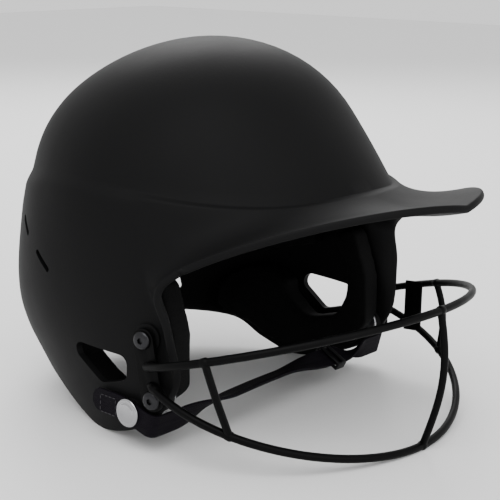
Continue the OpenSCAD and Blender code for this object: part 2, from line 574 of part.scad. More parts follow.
shell();
brow_pad();
crown_pad();
rear_pad();
side_pad_left();
side_pad_right();
jaw_pad_left();
jaw_pad_right();
guard_top_wire();
guard_lower_wire();
guard_center_bar();
guard_side_bar_left();
guard_side_bar_right();
guard_plate_left();
guard_plate_right();
guard_tag();
guard_screws();
guard_spacers();
tee_nuts();
chin_strap();
strap_tab();
snap_cap();
snap_stud();
snap_washer();
strap_rivet();
rivet_washer();
strap_slider();
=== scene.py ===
"""Looks for a batting helmet with foam pads, a wire face guard and a chin strap."""

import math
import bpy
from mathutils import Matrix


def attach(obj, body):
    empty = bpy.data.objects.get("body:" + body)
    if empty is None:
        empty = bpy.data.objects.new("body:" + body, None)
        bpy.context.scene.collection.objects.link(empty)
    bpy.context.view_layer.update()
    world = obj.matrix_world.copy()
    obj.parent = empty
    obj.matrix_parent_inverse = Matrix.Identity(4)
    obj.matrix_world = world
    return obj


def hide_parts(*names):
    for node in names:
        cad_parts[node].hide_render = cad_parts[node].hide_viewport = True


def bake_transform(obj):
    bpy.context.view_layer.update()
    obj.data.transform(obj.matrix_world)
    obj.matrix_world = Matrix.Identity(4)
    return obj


bl_info = {
    "name": "Batting Helmet",
    "version": (1, 0, 0),
    "blender": (4, 5, 0),
    "location": "View3D > Sidebar > Helmet",
    "description": "Shell, pads, face guard and chin strap of a batting helmet",
    "category": "Object",
}

import bpy
from bpy.props import FloatProperty, FloatVectorProperty, PointerProperty
from mathutils import Matrix, Vector

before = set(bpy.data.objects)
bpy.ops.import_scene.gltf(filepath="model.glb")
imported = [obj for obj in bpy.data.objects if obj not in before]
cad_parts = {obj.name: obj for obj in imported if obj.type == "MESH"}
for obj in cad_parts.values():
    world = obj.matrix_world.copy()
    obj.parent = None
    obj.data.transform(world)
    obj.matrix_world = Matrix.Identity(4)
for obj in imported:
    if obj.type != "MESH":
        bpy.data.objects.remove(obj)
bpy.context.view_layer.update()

MM = 0.001

# ------------------------------------------------------------------ the shell's shape, in mm
# Level frame: the dome's centre is at y = 0 and z = DOME_Z, the face looks along -Y.
HALF_W, DOME_FRONT, DOME_BACK = 101.0, 121.0, 106.0
DOME_H, DOME_Z, SKIRT_H = 97.0, 99.5, 260.0
PITCH = math.radians(24.5)
REAR_TUCK = 13.0
WALL, LEDGE, RIM_FLARE = 3.8, 2.6, 1.2
BILL_REACH, BILL_Z, BILL_HALF_W, BILL_TIP = 188.0, 84.0, 106.0, 50.0
FLAP_FRONT, FLAP_BOW, NAPE_Z = 58.0, 2.8, 46.0
EAR_Y, EAR_Z = 19.0, 39.0
TILT = math.radians(15.7)
STAND_Y, STAND_Z = 19.2641, -2.10804
SIN_P, COS_P = math.sin(PITCH), math.cos(PITCH)

# Where the guard is bolted and the strap is snapped on
GUARD_Y, GUARD_Z, GUARD_TURN, SCREW_GAP = 51.2, 34.5, math.radians(6), 31.0
BOSS_R, BOSS_OUT, SPACER_T, PLATE_T, WIRE_D = 7.5, 1.4, 1.6, 2.0, 4.2
TOP_WIRE_Z, GUARD_REACH, LOWER_REACH, LOWER_Z = 36.5, 162.0, 135.0, -33.5757
SNAP_Y, SNAP_Z, SNAP_BOSS, SNAP_FOOT = -32.5, 13.7, 2.2, 5.8
STRAP_W, STRAP_T, STRAP_GAP, STRAP_SLOPE = 12.5, 1.5, 4.0, math.radians(31)
STRAP_DROP, BEND_R, TAB_L, STUB_L, TAB_TURN = 17.0, 3.2, 26.0, 9.0, math.radians(13)

STANCE = Matrix.Translation((0, STAND_Y, STAND_Z)) @ Matrix.Rotation(-TILT, 4, "X")
TO_METRES = Matrix.Scale(MM, 4)


def smooth(t):
    k = min(1.0, max(0.0, t))
    return k * k * (3 - 2 * k)


def bezier(a, b, c, d, t):
    k = 1 - t
    return a * k**3 + b * 3 * k * k * t + c * 3 * k * t * t + d * t**3


def along(y, dz):
    return COS_P * y - SIN_P * dz


def above(y, dz):
    return SIN_P * y + COS_P * dz


def semi(h):
    return SKIRT_H if h < 0 else DOME_H


def semi_l(run):
    return DOME_BACK if run > 0 else DOME_FRONT


def reach(f, z):
    """Distance from the upright axis to the wall at azimuth f, which is 0 in front."""
    dz = z - DOME_Z
    r = HALF_W
    for _ in range(4):
        b = semi_l(along(-r * math.cos(f), dz))
        c = semi(above(-r * math.cos(f), dz))
        a2 = ((math.sin(f) / HALF_W) ** 2 + (COS_P * math.cos(f) / b) ** 2
              + (SIN_P * math.cos(f) / c) ** 2)
        a1 = 2 * COS_P * SIN_P * math.cos(f) * dz * (1 / b**2 - 1 / c**2)
        a0 = (SIN_P * dz / b) ** 2 + (COS_P * dz / c) ** 2 - 1
        r = (math.sqrt(max(0, a1 * a1 - 4 * a2 * a0)) - a1) / (2 * a2)
    return r


def tucked(p):
    """The rear corners are drawn in most at the height of the crease."""
    f = math.degrees(math.atan2(abs(p.x), -p.y))
    r = math.hypot(p.x, p.y)
    high = smooth((p.z - 56) / 70) * (1 - smooth((p.z - 132) / 64))
    k = 1 - REAR_TUCK / max(60, r) * smooth((f - 60) / 80) * high
    return Vector((p.x * k, p.y * k, p.z))


def wall_pt(f, z):
    r = reach(f, z)
    return tucked(Vector((r * math.sin(f), -r * math.cos(f), z)))


def side_pt(y, z):
    dz = z - DOME_Z
    run, h = along(y, dz), above(y, dz)
    x = HALF_W * math.sqrt(max(0.01, 1 - (run / semi_l(run)) ** 2 - (h / semi(h)) ** 2))
    return Vector((x, y, z))


def azimuth(y, z):
    return math.atan2(side_pt(y, z).x, -y)


def normal_at(p):
    dz = p.z - DOME_Z
    run, h = along(p.y, dz), above(p.y, dz)
    kl, kh = run / semi_l(run) ** 2, h / semi(h) ** 2
    return Vector((p.x / HALF_W**2, COS_P * kl + SIN_P * kh, -SIN_P * kl + COS_P * kh)).normalized()


def dome_pt(f, e):
    d = Vector((math.cos(e) * math.sin(f), -math.cos(e) * math.cos(f), math.sin(e)))
    run, h = along(d.y, d.z), above(d.y, d.z)
    r = 1 / math.sqrt((d.x / HALF_W) ** 2 + (run / semi_l(run)) ** 2 + (h / semi(h)) ** 2)
    return tucked(Vector((0, 0, DOME_Z)) + d * r)


def crease_z(f):
    deg = math.degrees(f)
    return DOME_Z - 0.5 + 47 * smooth((deg - 12) / 88) + 12 * smooth((deg - 105) / 75)


def curve_pt(p, i, t):
    n = len(p) - 1
    a, b, c, d = p[max(0, i - 1)], p[i], p[min(n, i + 1)], p[min(n, i + 2)]
    return (
        b
        + (c - a) * t / 2
        + (2 * a - 5 * b + 4 * c - d) * t * t / 2
        + (3 * b - a - 3 * c + d) * t**3 / 2
    )


def half_columns(bill_n=36, flap_steps=7, nape_n=22):
    """Half the rim: crease azimuth, edge azimuth, edge height, flare and how bill-like it is."""
    corner = Vector((BILL_HALF_W - 3, -FLAP_FRONT - 16, BILL_Z - 3))
    outline = [
        (corner.y, corner.z), (-FLAP_FRONT - 7, 76), (-FLAP_FRONT - 1.5, 67), (-FLAP_FRONT, 50),
        (-FLAP_FRONT + 2, 22), (-FLAP_FRONT + 14, 9), (-26, 4), (-4, 3), (12, 6), (30, 19),
        (46, 34), (75, NAPE_Z),
    ]
    outline = [Vector(q) for q in outline]
    path = [
        curve_pt(outline, i, k / flap_steps) for i in range(len(outline) - 1) for k in range(flap_steps)
    ]
    run = [0.0]
    for a, b in zip(path, path[1:]):
        run.append(run[-1] + (b - a).length)
    front = run[5 * flap_steps] / run[-1]
    corner_f = azimuth(corner.y, corner.z)
    bill_f = math.atan2(corner.x, -corner.y)
    nape_f = azimuth(75, NAPE_Z)
    flare = math.hypot(corner.x, corner.y) - reach(corner_f, corner.z)
    columns = []
    for i in range(bill_n):
        t = i / bill_n
        p = bezier(
            Vector((0, -BILL_REACH, BILL_Z)), Vector((BILL_TIP, -BILL_REACH, BILL_Z + 9)),
            Vector((BILL_HALF_W - 6, -FLAP_FRONT - 54, BILL_Z + 7)), corner, t,
        )
        f = math.atan2(p.x, -p.y)
        columns.append((
            f, f + (corner_f - bill_f) * smooth(t), p.z,
            math.hypot(p.x, p.y) - reach(f, p.z), 1 - 0.6 * smooth((t - 0.3) / 0.7),
        ))
    ten = math.radians(10)
    for q, length in zip(path, run):
        k = length / run[-1]
        if k < front:
            f = bill_f + ten * k / front
        else:
            f = bill_f + ten + (nape_f - bill_f - ten) * (k - front) / (1 - front)
        fade = 1 - smooth(k / front)
        columns.append((f, azimuth(q.x, q.y), q.y, RIM_FLARE + (flare - RIM_FLARE) * fade, 0.4 * fade))
    for i in range(nape_n + 1):
        f = nape_f + (math.pi - nape_f) * i / nape_n
        columns.append((f, f, NAPE_Z, RIM_FLARE, 0))
    return columns


def bow(f, z):
    deg = math.degrees(f)
    lean = smooth((z - 8) / 25) * smooth((82 - z) / 30) * smooth((100 - deg) / 35)
    return f - math.radians(FLAP_BOW) * lean


def skirt_pt(column, s, proud):
    """A point below the crease: s runs from 0 at the crease to 1 at the rim."""
    crease_f, edge_f, edge_z, flare, billed = column
    top = crease_z(crease_f)
    f = crease_f + (edge_f - crease_f) * s
    z = top + (edge_z - top) * (1 - (1 - s) ** (1 + 1.3 * billed))
    fb = bow(f, z)
    out = flare * s ** (5 - 3.75 * billed)
    out += proud * smooth(s / 0.08) * (1 - smooth((s - 0.1) / 0.7))
    return wall_pt(fb, z) + Vector((math.sin(fb), -math.cos(fb), 0)) * out


SKIRT_ROWS = [1 - i / 34 for i in range(31)] + [0.095, 0.075, 0.06, 0.05, 0.04, 0.03, 0.02, 0.01, 0]
CROWN_ROWS = [i / 26 for i in range(1, 26)]


def shell_column(column, proud):
    """Points up one column, from the rim to just short of the crown."""
    points = [skirt_pt(column, s, proud) for s in SKIRT_ROWS]
    foot = wall_pt(column[0], crease_z(column[0]))
    e0 = math.asin((foot.z - DOME_Z) / (foot - Vector((0, 0, DOME_Z))).length)
    points += [dome_pt(column[0], e0 + (math.pi / 2 - e0) * k) for k in CROWN_ROWS]
    return points


def mirrored(p):
    return Vector((-p.x, p.y, p.z))


def all_round(half):
    return half + [[mirrored(p) for p in column] for column in reversed(half[1:-1])]


# ------------------------------------------------------------------ modelling helpers
def deselect():
    if bpy.context.object and bpy.context.object.mode != "OBJECT":
        bpy.ops.object.mode_set(mode="OBJECT")
    bpy.ops.object.select_all(action="DESELECT")


def only(obj):
    deselect()
    obj.select_set(True)
    bpy.context.view_layer.objects.active = obj


def apply_all(obj):
    only(obj)
    for m in list(obj.modifiers):
        bpy.ops.object.modifier_apply(modifier=m.name)


def clean(obj, dist=1e-6, outside=True):
    only(obj)
    bpy.ops.object.mode_set(mode="EDIT")
    bpy.ops.mesh.select_all(action="SELECT")
    bpy.ops.mesh.remove_doubles(threshold=dist)
    if outside:
        bpy.ops.mesh.normals_make_consistent(inside=False)
    bpy.ops.object.mode_set(mode="OBJECT")


def smooth_shade(obj, degrees=35):
    only(obj)
    bpy.ops.object.shade_smooth_by_angle(angle=math.radians(degrees))


def finish_piece(obj, body, material, replaces=(), angle=35):
    smooth_shade(obj, angle)
    obj.data.materials.clear()
    obj.data.materials.append(material)
    if body:
        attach(obj, body)
    if replaces:
        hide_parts(*replaces)
    return obj


def sheet_grid(name, points, wrap):
    """A grid primitive laid through rows of points; wrap closes it along the first count."""
    nu, nv = len(points), len(points[0])
    steps = nu if wrap else nu - 1
    deselect()
    bpy.ops.mesh.primitive_grid_add(
        x_subdivisions=steps, y_subdivisions=nv - 1, size=1, calc_uvs=True)
    obj = bpy.context.object
    obj.name = obj.data.name = name
    for v in obj.data.vertices:
        i = round((v.co.x + 0.5) * steps) % (steps if wrap else nu)
        k = round((v.co.y + 0.5) * (nv - 1))
        v.co = points[i][k]
    return obj


def to_row(obj):
    """From mm in the level frame to metres in the row frame."""
    obj.data.transform(TO_METRES @ STANCE)
    obj.data.update()


def turned_part(name, profile, steps=48):
    """A lathe-turned part: a closed profile of (radius, height) spun about its axis."""
    deselect()
    bpy.ops.mesh.primitive_circle_add(vertices=len(profile), fill_type="NOTHING")
    obj = bpy.context.object
    obj.name = obj.data.name = name
    for v, (r, z) in zip(obj.data.vertices, profile):
        v.co = (r, 0, z)
    bpy.ops.object.mode_set(mode="EDIT")
    bpy.ops.mesh.select_all(action="SELECT")
    bpy.ops.mesh.spin(steps=steps, angle=2 * math.pi, center=(0, 0, 0), axis=(0, 0, 1))
    bpy.ops.mesh.select_all(action="SELECT")
    bpy.ops.mesh.remove_doubles(threshold=1e-4)
    bpy.ops.mesh.delete_loose(use_verts=True, use_edges=True, use_faces=False)
    bpy.ops.mesh.select_all(action="SELECT")
    bpy.ops.mesh.normals_make_consistent(inside=False)
    bpy.ops.object.mode_set(mode="OBJECT")
    return obj


def placed(obj, matrix):
    """Moves the mesh to its place and keeps its faces pointing outwards."""
    obj.data.transform(matrix)
    if matrix.determinant() < 0:
        obj.data.flip_normals()
    obj.data.update()
    return obj


def joined(objs, name):
    deselect()
    for o in objs:
        o.select_set(True)
    bpy.context.view_layer.objects.active = objs[0]
    bpy.ops.object.join()
    obj = bpy.context.object
    obj.name = obj.data.name = name
    return obj


def cad_copy(node, name):
    """A merged copy of a CAD node's mesh, ready to be given finer edges."""
    obj = bpy.data.objects.new(name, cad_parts[node].data.copy())
    bpy.context.collection.objects.link(obj)
    obj.data.materials.clear()
    clean(obj, 1e-6, outside=False)
    return obj


def eased_copy(node, name, width, body, material, segments=2, angle=35):
    """The CAD part with its flat faces made whole and its edges rounded over."""
    obj = cad_copy(node, name)
    only(obj)
    bpy.ops.object.mode_set(mode="EDIT")
    bpy.ops.mesh.select_all(action="SELECT")
    bpy.ops.mesh.dissolve_limited(angle_limit=math.radians(0.5))
    bpy.ops.object.mode_set(mode="OBJECT")
    rounding = obj.modifiers.new("Rounding", "BEVEL")
    rounding.width = width
    rounding.segments = segments
    rounding.limit_method = "ANGLE"
    rounding.angle_limit = math.radians(angle)
    apply_all(obj)
    return finish_piece(obj, body, material, [node])


def tube(name, points, radius, sides=5):
    """Round bar along points, made as a curve with a round section and then a mesh."""
    deselect()
    bpy.ops.curve.primitive_nurbs_path_add(location=(0, 0, 0))
    curve = bpy.context.object.data
    curve.splines.clear()
    curve.bevel_depth = radius
    curve.bevel_resolution = sides
    curve.use_fill_caps = True
    spline = curve.splines.new("POLY")
    spline.points.add(len(points) - 1)
    for p, q in zip(spline.points, points):
        p.co = (q.x, q.y, q.z, 1)
    bpy.ops.object.convert(target="MESH")
    obj = bpy.context.object
    obj.name = obj.data.name = name
    return obj


def side_frame(side, y, z, turn=0.0):
    """Frame on the shell's outside at (y, z): its third axis is the outward normal."""
    p = side_pt(y, z)
    n = normal_at(p)
    v = (Vector((0, 0, 1)) - n * n.z).normalized()
    h = v.cross(n)
    m = Matrix(((h.x, v.x, n.x, p.x), (h.y, v.y, n.y, p.y), (h.z, v.z, n.z, p.z), (0, 0, 0, 1)))
    m = m @ Matrix.Rotation(turn, 4, "Z")
    return (Matrix.Scale(-1, 4, (1, 0, 0)) @ m) if side < 0 else m


def screw_frames():
    """The four places of the guard's screws, in mm, from the shell's surface outwards."""
    return [
        side_frame(side, -GUARD_Y, GUARD_Z, GUARD_TURN) @ Matrix.Translation((0, k * SCREW_GAP / 2, 0))
        for side in (-1, 1)
        for k in (-1, 1)
    ]


SNAP_P = side_pt(SNAP_Y, SNAP_Z)
STRAP_U = Vector((0, math.cos(STRAP_SLOPE), math.sin(STRAP_SLOPE)))
STRAP_V = Vector((0, -math.sin(STRAP_SLOPE), math.cos(STRAP_SLOPE)))


def snap_frame(side):
    """Frame on the snap's axis: x along the strap's tab, z outwards."""
    u, v, p = STRAP_U, STRAP_V, SNAP_P
    m = Matrix(((u.x, v.x, 1, p.x), (u.y, v.y, 0, p.y), (u.z, v.z, 0, p.z), (0, 0, 0, 1)))
    return (Matrix.Scale(-1, 4, (1, 0, 0)) @ m) if side < 0 else m


def row(m):
    return TO_METRES @ STANCE @ m


# ------------------------------------------------------------------ finishes
def new_group(name, inputs, outputs):
    tree = bpy.data.node_groups.new(name, "ShaderNodeTree")
    for label, kind, value in inputs:
        socket = tree.interface.new_socket(name=label, in_out="INPUT", socket_type=kind)
        socket.default_value = value
    for label, kind in outputs:
        tree.interface.new_socket(name=label, in_out="OUTPUT", socket_type=kind)
    return tree, tree.nodes.new("NodeGroupInput"), tree.nodes.new("NodeGroupOutput")


def math_node(tree, operation, a, b=None, clamp=False):
    node = tree.nodes.new("ShaderNodeMath")
    node.operation = operation
    node.use_clamp = clamp
    for socket, value in zip(node.inputs, (a, b)):
        if value is None:
            continue
        if isinstance(value, (int, float)):
            socket.default_value = value
        else:
            tree.links.new(value, socket)
    return node.outputs[0]


def noise_node(tree, coordinates, scale, detail=3.0, roughness=0.5):
    node = tree.nodes.new("ShaderNodeTexNoise")
    tree.links.new(coordinates, node.inputs["Vector"])
    if isinstance(scale, (int, float)):
        node.inputs["Scale"].default_value = scale
    else:
        tree.links.new(scale, node.inputs["Scale"])
    node.inputs["Detail"].default_value = detail
    node.inputs["Roughness"].default_value = roughness
    return node.outputs["Fac"]


def grain_group():
    """Fine moulded grain, broad mottle and thin handling scuffs over a surface."""
    tree, _, end = new_group(
        "Surface grain",
        [("Grain Scale", "NodeSocketFloat", 900.0), ("Mottle Scale", "NodeSocketFloat", 22.0)],
        [("Height", "NodeSocketFloat"), ("Mottle", "NodeSocketFloat"), ("Scuff", "NodeSocketFloat")],
    )
    start = tree.nodes["Group Input"]
    where = tree.nodes.new("ShaderNodeTexCoord").outputs["Object"]
    for size, detail, sink in (("Grain Scale", 4.0, "Height"), ("Mottle Scale", 5.0, "Mottle")):
        tree.links.new(noise_node(tree, where, start.outputs[size], detail, 0.6), end.inputs[sink])
    stretch = tree.nodes.new("ShaderNodeMapping")
    stretch.inputs["Scale"].default_value = (1.0, 14.0, 5.0)
    stretch.inputs["Rotation"].default_value = (0.4, 0.3, 0.9)
    tree.links.new(where, stretch.inputs["Vector"])
    streak = noise_node(tree, stretch.outputs[0], 34.0, 2.0, 0.5)
    thin = math_node(tree, "SUBTRACT", streak, 0.69)
    tree.links.new(math_node(tree, "MULTIPLY", thin, 9.0, clamp=True), end.inputs["Scuff"])
    return tree


def foam_group():
    """Pores and soft creases of a closed-cell foam's skin."""
    tree, _, end = new_group(
        "Foam skin",
        [("Pore Scale", "NodeSocketFloat", 1100.0)],
        [("Height", "NodeSocketFloat"), ("Mottle", "NodeSocketFloat")],
    )
    start = tree.nodes["Group Input"]
    where = tree.nodes.new("ShaderNodeTexCoord").outputs["Object"]
    pores = tree.nodes.new("ShaderNodeTexVoronoi")
    tree.links.new(where, pores.inputs["Vector"])
    tree.links.new(start.outputs["Pore Scale"], pores.inputs["Scale"])
    soft = noise_node(tree, where, 90.0, 3.0)
    both = math_node(tree, "ADD", pores.outputs["Distance"], math_node(tree, "MULTIPLY", soft, 1.6))
    tree.links.new(both, end.inputs["Height"])
    tree.links.new(noise_node(tree, where, 40.0, 4.0), end.inputs["Mottle"])
    return tree


def weave_group():
    """Herringbone of flat webbing. The UV map is in metres: U along the strap, V across it. Besides the
    height it gives a painted shade, lighter on the yarns' crests and darker in the grooves between them.
    """
    tree, _, end = new_group(
        "Webbing weave",
        [("Pitch", "NodeSocketFloat", 0.0011), ("Rib", "NodeSocketFloat", 0.0035)],
        [("Height", "NodeSocketFloat"), ("Painted Weave Shade", "NodeSocketFloat")],
    )
    start = tree.nodes["Group Input"]
    uv = tree.nodes.new("ShaderNodeTexCoord").outputs["UV"]
    split = tree.nodes.new("ShaderNodeSeparateXYZ")
    tree.links.new(uv, split.inputs[0])
    run = math_node(tree, "DIVIDE", split.outputs["X"], start.outputs["Pitch"])
    across = math_node(tree, "DIVIDE", split.outputs["Y"], start.outputs["Rib"])
    zigzag = math_node(tree, "PINGPONG", across, 1.0)
    slant = math_node(tree, "ADD", run, math_node(tree, "MULTIPLY", zigzag, 2.6))
    ridge = math_node(tree, "SINE", math_node(tree, "MULTIPLY", slant, 2 * math.pi))
    yarn = math_node(tree, "ADD", math_node(tree, "MULTIPLY", ridge, 0.5), 0.5)
    groove = math_node(tree, "PINGPONG", math_node(tree, "ADD", across, 0.5), 0.5)
    edge = math_node(tree, "MULTIPLY", groove, 5.0, clamp=True)
    tree.links.new(math_node(tree, "MULTIPLY", yarn, edge), end.inputs["Height"])
    # Painted shade: the yarn's crest value that also drives the colour, so the grooves between yarns come
    # out darker.
    tree.links.new(yarn, end.inputs["Painted Weave Shade"])
    return tree


def mixed_colour(tree, dark, light, factor):
    mix = tree.nodes.new("ShaderNodeMix")
    mix.data_type = "RGBA"
    tree.links.new(factor, mix.inputs["Factor"])
    mix.inputs["A"].default_value = (*dark, 1)
    mix.inputs["B"].default_value = (*light, 1)
    return mix.outputs["Result"]


def ranged(tree, value, low, high, start=0.3, stop=0.7):
    node = tree.nodes.new("ShaderNodeMapRange")
    tree.links.new(value, node.inputs["Value"])
    for label, v in (("From Min", start), ("From Max", stop), ("To Min", low), ("To Max", high)):
        node.inputs[label].default_value = v
    return node.outputs["Result"]


def scaled(colour, k):
    return tuple(min(1.0, c * k) for c in colour)


def finish_named(name, colour, roughness, group, depth, settings=(), metallic=0.0, spread=0.05,
                 contrast=0.12, scuff=0.0, coat=0.0, sheen=0.0, specular=0.5):
    """A material whose colour and roughness drift a little over the surface, with its own relief. On the
    webbing the drift is painted shade from the weave, darker in the grooves between the yarns.
    """
    material = bpy.data.materials.new(name)
    material.use_nodes = True
    tree = material.node_tree
    shader = tree.nodes["Principled BSDF"]
    texture = tree.nodes.new("ShaderNodeGroup")
    texture.node_tree = group
    for label, value in settings:
        texture.inputs[label].default_value = value
    # The colour follows the random mottle, or for the webbing the painted shade of the weave, darker in
    # its grooves.
    mottle_and_weave_shade = texture.outputs["Painted Weave Shade" if "Painted Weave Shade" in texture.outputs else "Mottle"]
    base = mixed_colour(tree, scaled(colour, 1 - contrast), scaled(colour, 1 + contrast), mottle_and_weave_shade)
    rough = ranged(tree, mottle_and_weave_shade, roughness - spread, roughness + spread)
    if scuff:
        base_mix = tree.nodes.new("ShaderNodeMix")
        base_mix.data_type = "RGBA"
        rubbed = texture.outputs["Scuff"]
        tree.links.new(math_node(tree, "MULTIPLY", rubbed, scuff), base_mix.inputs["Factor"])
        tree.links.new(base, base_mix.inputs["A"])
        base_mix.inputs["B"].default_value = (*scaled(colour, 2.4), 1)
        base = base_mix.outputs["Result"]
        rough = math_node(tree, "ADD", rough, math_node(tree, "MULTIPLY", rubbed, scuff * 0.25))
    tree.links.new(base, shader.inputs["Base Color"])
    tree.links.new(rough, shader.inputs["Roughness"])
    relief = tree.nodes.new("ShaderNodeBump")
    relief.inputs["Strength"].default_value = 0.6
    relief.inputs["Distance"].default_value = depth
    tree.links.new(texture.outputs["Height"], relief.inputs["Height"])
    tree.links.new(relief.outputs["Normal"], shader.inputs["Normal"])
    shader.inputs["Metallic"].default_value = metallic
    shader.inputs["Coat Weight"].default_value = coat
    shader.inputs["Coat Roughness"].default_value = 0.3
    shader.inputs["Sheen Weight"].default_value = sheen
    shader.inputs["Specular IOR Level"].default_value = specular
    return material


def finishes():
    """Every material of the helmet, made once."""
    if "Shell plastic" in bpy.data.materials:
        return {m.name: m for m in bpy.data.materials}
    look = bpy.context.scene.helmet_look
    grain, foam, weave = grain_group(), foam_group(), weave_group()
    shell, pad = tuple(look.shell_colour), tuple(look.pad_colour)
    wire, web = tuple(look.wire_colour), tuple(look.strap_colour)
    finish_named("Shell plastic", shell, look.shell_roughness, grain, 0.00012,
                 [("Grain Scale", 750.0), ("Mottle Scale", 14.0)], spread=0.04, contrast=0.1, scuff=0.12,
                 specular=0.06)
    finish_named("Foam", pad, 0.86, foam, 0.0003, [("Pore Scale", 1000.0)], contrast=0.3, specular=0.12)
    finish_named("Powder coat", wire, 0.45, grain, 0.00015,
                 [("Grain Scale", 520.0), ("Mottle Scale", 60.0)], spread=0.06, scuff=0.15, specular=0.06)
    finish_named("Tag plastic", scaled(wire, 0.7), 0.55, grain, 0.0001,
                 [("Grain Scale", 1200.0), ("Mottle Scale", 60.0)], specular=0.05)
    finish_named("Dark steel", (0.03, 0.03, 0.032), 0.32, grain, 0.00004,
                 [("Grain Scale", 1500.0), ("Mottle Scale", 300.0)], metallic=1.0, scuff=0.3)
    finish_named("Zinc steel", (0.5, 0.5, 0.51), 0.34, grain, 0.00004,
                 [("Grain Scale", 1300.0), ("Mottle Scale", 200.0)], metallic=1.0, contrast=0.2)
    finish_named("Rubber", (0.004, 0.004, 0.004), 0.75, grain, 0.00008, [("Grain Scale", 1600.0)],
                 specular=0.06)
    # The webbing's wide colour contrast is painted shade in the grooves of the weave.
    finish_named("Webbing", web, 0.66, weave, 0.00035, contrast=0.55, spread=0.08, specular=0.06)
    finish_named("Sewing thread", scaled(web, 1.8), 0.6, grain, 0.00005,
                 [("Grain Scale", 4000.0), ("Mottle Scale", 900.0)], contrast=0.4)
    finish_named("Chrome", (0.36, 0.36, 0.37), 0.16, grain, 0.00001,
                 [("Grain Scale", 1800.0), ("Mottle Scale", 260.0)], metallic=1.0, spread=0.04, scuff=0.2)
    finish_named("Slider plastic", (0.005, 0.005, 0.0055), 0.42, grain, 0.00005,
                 [("Grain Scale", 1500.0), ("Mottle Scale", 90.0)], specular=0.12)
    return {m.name: m for m in bpy.data.materials}


# ------------------------------------------------------------------ settings
class HelmetLook(bpy.types.PropertyGroup):
    shell_colour: FloatVectorProperty(
        name="Shell", description="Colour of the shell's plastic", subtype="COLOR", size=3,
        default=(0.0045, 0.0045, 0.0047), min=0, max=1)
    shell_roughness: FloatProperty(
        name="Shell Roughness", description="How matt the shell is", subtype="FACTOR",
        default=0.56, min=0.1, max=0.9)
    pad_colour: FloatVectorProperty(
        name="Pads", description="Colour of the foam pads", subtype="COLOR", size=3,
        default=(0.0015, 0.0015, 0.0016), min=0, max=1)
    wire_colour: FloatVectorProperty(
        name="Face Guard", description="Colour of the guard's coating", subtype="COLOR", size=3,
        default=(0.0015, 0.0015, 0.0016), min=0, max=1)
    strap_colour: FloatVectorProperty(
        name="Strap", description="Colour of the webbing", subtype="COLOR", size=3,
        default=(0.0036, 0.0027, 0.0046), min=0, max=1)


class HelmetSizes(bpy.types.PropertyGroup):
    rim_bulge: FloatProperty(
        name="Rim Bulge", description="How far the shell's rounded rim stands past its edge",
        unit="LENGTH", default=0.0012, min=0.0002, max=0.002)
    pad_swell: FloatProperty(
        name="Pad Swell", description="Most that a pad's foam may swell from its cut shape",
        unit="LENGTH", default=0.0022, min=0.0, max=0.004)
    pad_voxel: FloatProperty(
        name="Pad Detail", description="Size of the pieces a pad's skin is divided into",
        unit="LENGTH", default=0.004, min=0.0025, max=0.006)
    stitch_length: FloatProperty(
        name="Stitch", description="Length of one stitch on the strap",
        unit="LENGTH", default=0.0022, min=0.001, max=0.004)


# ------------------------------------------------------------------ the stage
class HELMET_OT_stage(bpy.types.Operator):
    """Floor, soft lights and camera"""

    bl_idname = "helmet.stage"
    bl_label = "Stage"

    def execute(self, context):
        deselect()
        bpy.ops.mesh.primitive_plane_add(size=6, location=(0, 0, 0))
        floor = context.object
        floor.name = "floor"
        material = bpy.data.materials.new("Pale floor")
        material.use_nodes = True
        shader = material.node_tree.nodes["Principled BSDF"]
        shader.inputs["Base Color"].default_value = (0.86, 0.86, 0.86, 1)
        shader.inputs["Roughness"].default_value = 0.7
        floor.data.materials.append(material)
        world = bpy.data.worlds.new("Studio")
        world.use_nodes = True
        world.node_tree.nodes["Background"].inputs["Color"].default_value = (1, 1, 1, 1)
        world.node_tree.nodes["Background"].inputs["Strength"].default_value = 1.1
        context.scene.world = world
        target = Vector((0, 0, 0.1))
        for name, place, power, size in (
            ("key", (-0.9, -0.5, 1.5), 20, 1.3),
            ("fill", (-0.2, -1.6, 0.7), 9, 1.2),
            ("back", (0.9, 0.9, 1.1), 16, 0.9),
        ):
            bpy.ops.object.light_add(type="AREA", location=place)
            lamp = context.object
            lamp.name = name
            lamp.data.energy = power
            lamp.data.size = size
            lamp.rotation_euler = (target - Vector(place)).to_track_quat("-Z", "Y").to_euler()
        bpy.ops.object.camera_add()
        camera = context.object
        camera.name = "camera"
        right, up = Vector((0.6464, -0.7629, 0.0093)), Vector((0.169, 0.1551, 0.9734))
        right.normalize()
        back = right.cross(up).normalized()
        up = back.cross(right)
        place = Vector((-0.549, -0.4666, 0.2551))
        camera.matrix_world = Matrix((
            (right.x, up.x, back.x, place.x), (right.y, up.y, back.y, place.y),
            (right.z, up.z, back.z, place.z), (0, 0, 0, 1)))
        camera.data.sensor_width = 36
        camera.data.lens = 96.5
        camera.data.clip_start = 0.05
        context.scene.camera = camera
        return {"FINISHED"}


# ------------------------------------------------------------------ shell
def rounded_outline(corners, radius, steps=8):
    """A convex outline grown by radius, with round corners."""
    points = []
    n = len(corners)
    for i in range(n):
        a, b, c = (Vector(corners[(i + k) % n]) for k in (-1, 0, 1))
        d0, d1 = (b - a).normalized(), (c - b).normalized()
        n0, n1 = Vector((d0.y, -d0.x)), Vector((d1.y, -d1.x))
        a0, a1 = math.atan2(n0.y, n0.x), math.atan2(n1.y, n1.x)
        while a1 < a0:
            a1 += 2 * math.pi
        for k in range(steps + 1):
            t = a0 + (a1 - a0) * k / steps
            points.append(b + Vector((math.cos(t), math.sin(t))) * radius)
    return points


